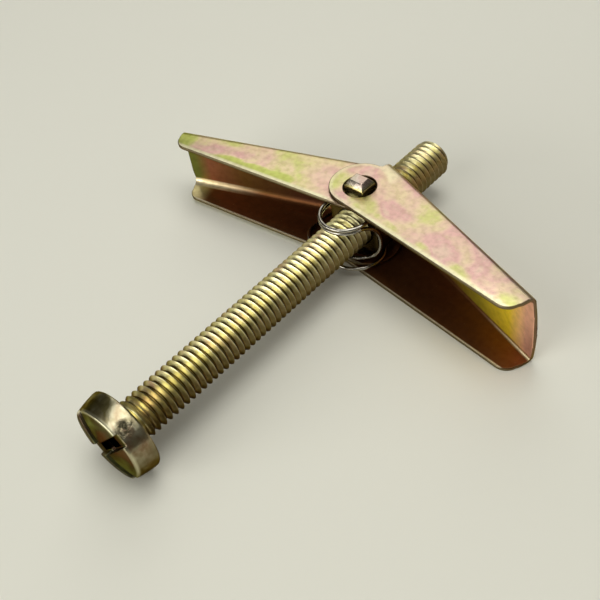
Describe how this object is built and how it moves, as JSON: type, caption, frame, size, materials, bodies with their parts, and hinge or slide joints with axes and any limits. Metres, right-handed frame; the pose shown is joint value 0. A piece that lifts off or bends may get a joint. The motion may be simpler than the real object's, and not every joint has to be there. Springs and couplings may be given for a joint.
{
  "type": "spring toggle bolt",
  "caption": "Pan head machine screw with a trunnion nut, two nested folding channel wings and a double torsion spring that opens them.",
  "frame": {"origin": "on the screw's axis in the plane of the head's bearing face", "axes": "+Y along the shank from the head to the tip, +Z along the wings' pivot axis, +X towards the outer wing when the wings are open"},
  "size_m": [0.0645, 0.0668, 0.0148],
  "materials": {
    "screw_zinc": "yellow zinc plated steel",
    "nut_zinc": "yellow zinc plated steel",
    "wing_zinc": "iridescent yellow zinc plated sheet steel",
    "spring_steel": "plain spring steel wire"
  },
  "bodies": {
    "screw": {"screw": "screw_zinc"},
    "nut": {"trunnion_nut": "nut_zinc", "spring": "spring_steel"},
    "wing_right": {"wing_right": "wing_zinc"},
    "wing_left": {"wing_left": "wing_zinc"}
  },
  "joints": [
    {"name": "screw_travel", "type": "slide", "parent": "screw", "child": "nut", "axis": [0, 1, 0], "range_m": [-0.011, 0.0135]},
    {"name": "wing_right_fold", "type": "hinge", "parent": "nut", "child": "wing_right", "pos_m": [0, 0.0457, 0], "axis": [0, 0, 1], "range_deg": [-70, 0], "stiffness_Nm_per_rad": 0.01, "springref_deg": 20.05, "deforming": ["spring"]},
    {"name": "wing_left_fold", "type": "hinge", "parent": "nut", "child": "wing_left", "pos_m": [0, 0.0457, 0], "axis": [0, 0, 1], "range_deg": [0, 72], "stiffness_Nm_per_rad": 0.01, "springref_deg": -20.05, "deforming": ["spring"]}
  ]
}
